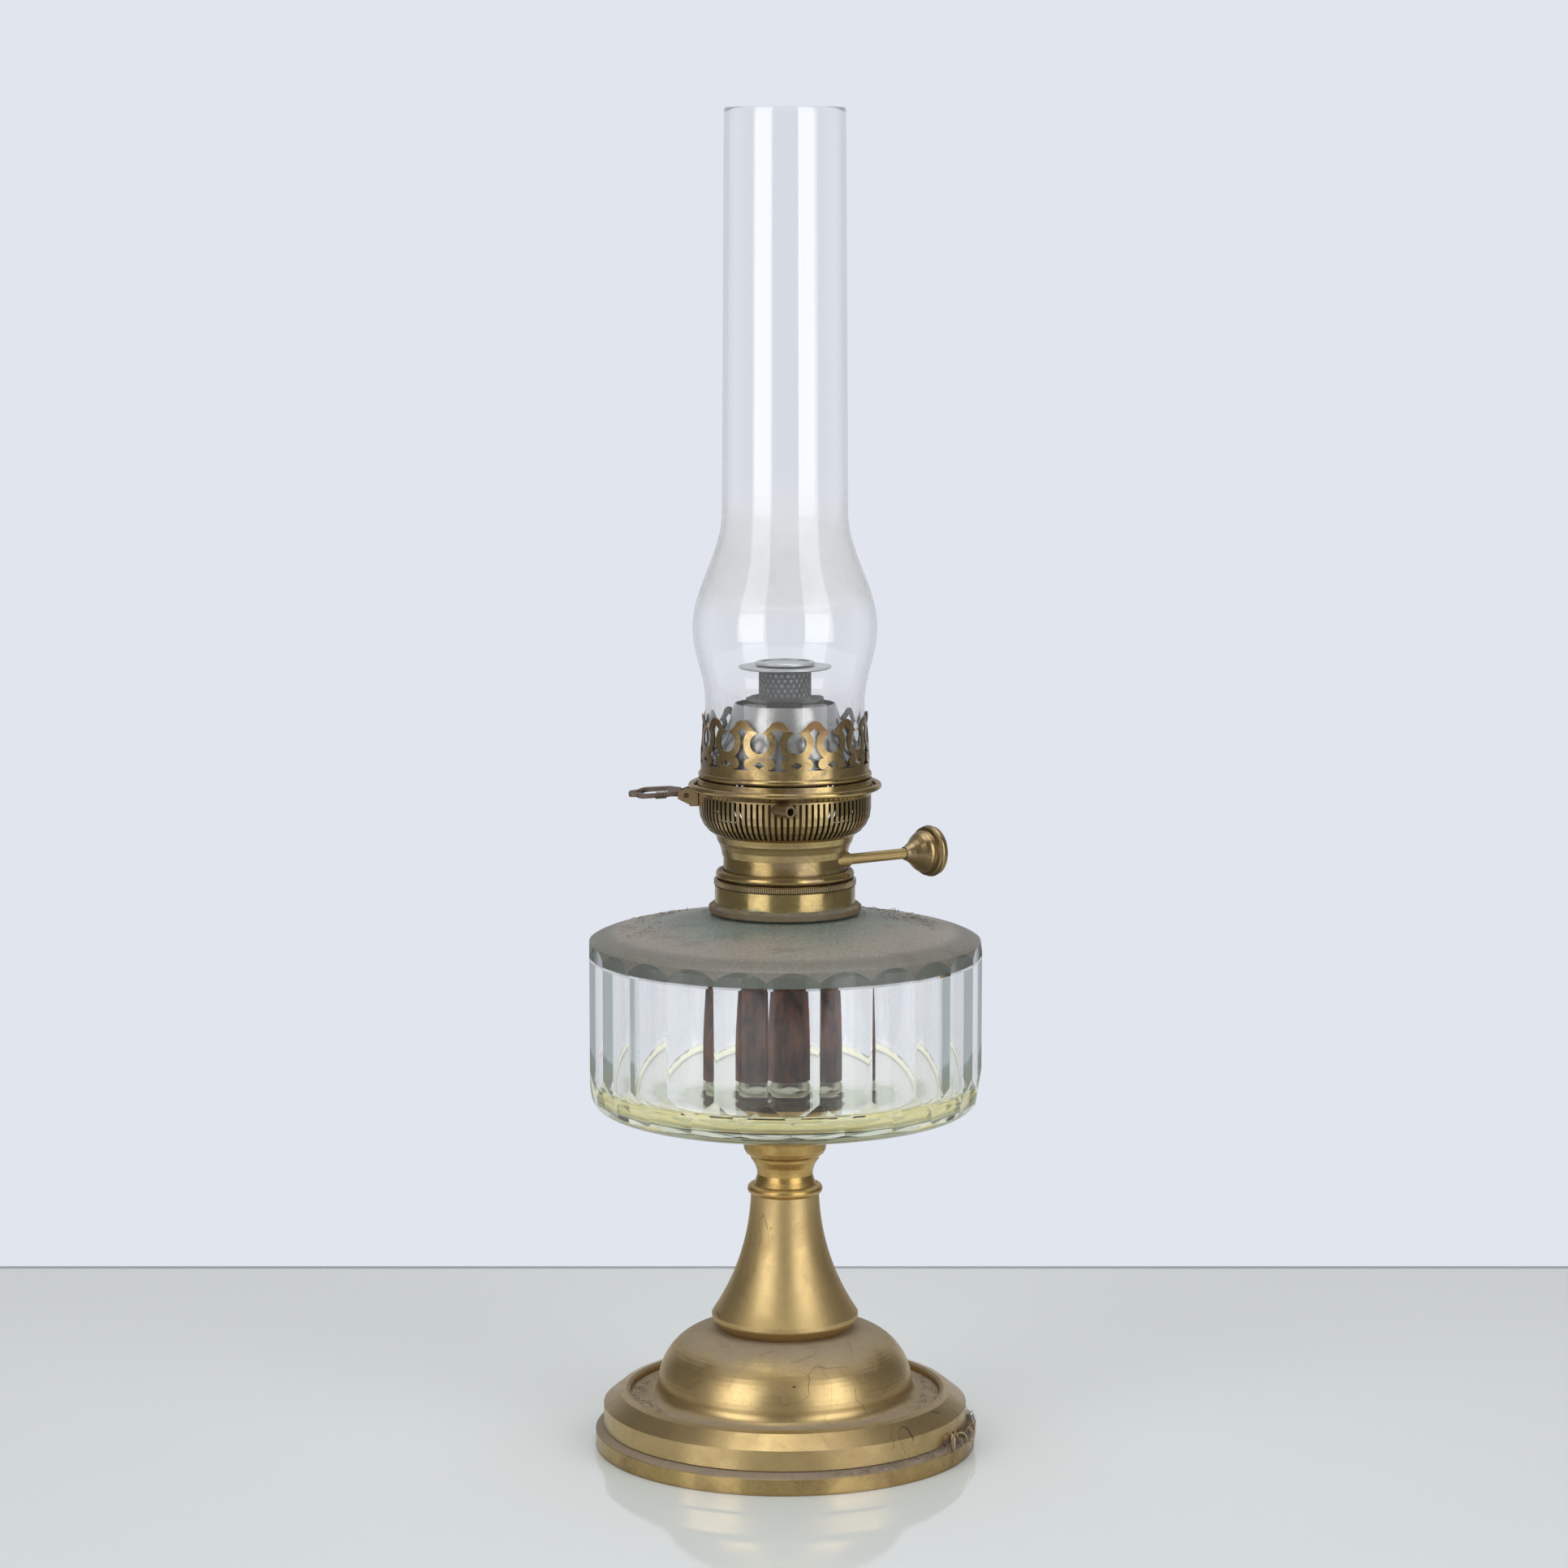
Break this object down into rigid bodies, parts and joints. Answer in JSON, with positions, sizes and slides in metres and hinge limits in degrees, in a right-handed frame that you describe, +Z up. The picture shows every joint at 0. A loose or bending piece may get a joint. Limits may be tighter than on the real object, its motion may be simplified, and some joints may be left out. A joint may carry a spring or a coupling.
{
  "type": "kerosene table lamp",
  "caption": "Kerosene table lamp: turned brass foot, facet-cut glass font, round-wick burner with slotted basket, lyre gallery, knob, lift lever and bulged glass chimney.",
  "frame": {"origin": "on the lamp's axis, on the table under the foot", "axes": "+Z up along the chimney's axis, -Y towards the viewer, +X to the knob's side"},
  "size_m": [0.1606, 0.1606, 0.5466],
  "materials": {
    "worn_brass": "worn satin, brown patina",
    "bright_brass": "polished with patina",
    "brown_brass": "oxidised",
    "steel": "dull",
    "dark_steel": "rusty",
    "grey_steel": "satin, sooted",
    "iron": "rough",
    "plaster": "cast plaster",
    "font_glass": "clear, facet cut",
    "chimney_glass": "clear, thin",
    "wick_cloth": "woven cotton, charred on top"
  },
  "bodies": {
    "lamp": {"foot_base_ring": "worn_brass", "foot_rim": "worn_brass", "foot_dome": "worn_brass", "foot_weight": "iron", "base_plate": "iron", "tie_washer": "steel", "tie_nut": "steel", "tie_rod": "steel", "stem_trumpet": "worn_brass", "stem_bead": "worn_brass", "neck_spool": "worn_brass", "font_cup": "worn_brass", "cup_cement": "plaster", "rod_nut": "steel", "font_glass": "font_glass", "collar_cement": "plaster", "font_collar": "bright_brass"},
    "burner": {"thread_ring": "bright_brass", "burner_band": "bright_brass", "burner_floor": "brown_brass", "air_basket": "bright_brass", "basket_rim": "bright_brass", "wick_tube": "brown_brass", "draft_tube": "brown_brass", "air_duct": "brown_brass", "shaft_bush": "bright_brass", "shaft_bearing": "brown_brass", "basket_stud": "brown_brass", "lever_bracket": "bright_brass", "lever_pin": "steel"},
    "winder": {"wick_shaft": "bright_brass", "feed_wheels": "steel", "wick_knob": "bright_brass"},
    "wick": {"wick_crown": "wick_cloth", "wick_tails": "wick_cloth"},
    "lever": {"lift_lever": "dark_steel", "lift_fork": "brown_brass"},
    "gallery": {"gallery_crown": "bright_brass", "gallery_bead": "bright_brass", "gallery_guides": "brown_brass", "gallery_floor": "brown_brass", "air_cone": "grey_steel"},
    "chimney": {"chimney_glass": "chimney_glass"},
    "spreader": {"spreader_tube": "steel", "spreader_disc": "steel", "spreader_cap": "steel"}
  },
  "joints": [
    {"name": "burner_lift", "type": "slide", "parent": "lamp", "child": "burner", "axis": [0, 0, 1], "range_m": [0, 0.12]},
    {"name": "knob_turn", "type": "hinge", "parent": "burner", "child": "winder", "pos_m": [0.01147, -0.01638, 0.2448], "axis": [0.8192, 0.5736, 0], "range_deg": [-120, 80]},
    {"name": "wick_rise", "type": "slide", "parent": "burner", "child": "wick", "axis": [0, 0, 1], "range_m": [-0.009, 0.006]},
    {"name": "lever_press", "type": "hinge", "parent": "burner", "child": "lever", "pos_m": [-0.03985, 0.00349, 0.2702], "axis": [-0.0872, -0.9962, 0], "range_deg": [0, 18]},
    {"name": "gallery_lift", "type": "slide", "parent": "burner", "child": "gallery", "axis": [0, 0, 1], "range_m": [0, 0.0087]},
    {"name": "chimney_lift", "type": "slide", "parent": "gallery", "child": "chimney", "axis": [0, 0, 1], "range_m": [0, 0.06]},
    {"name": "spreader_lift", "type": "slide", "parent": "burner", "child": "spreader", "axis": [0, 0, 1], "range_m": [0, 0.02]}
  ],
  "couplings": [
    {"joint": "wick_rise", "follows": "knob_turn", "m_per_rad": 0.0042},
    {"joint": "lever_press", "follows": "gallery_lift", "rad_per_m": 35.714}
  ]
}
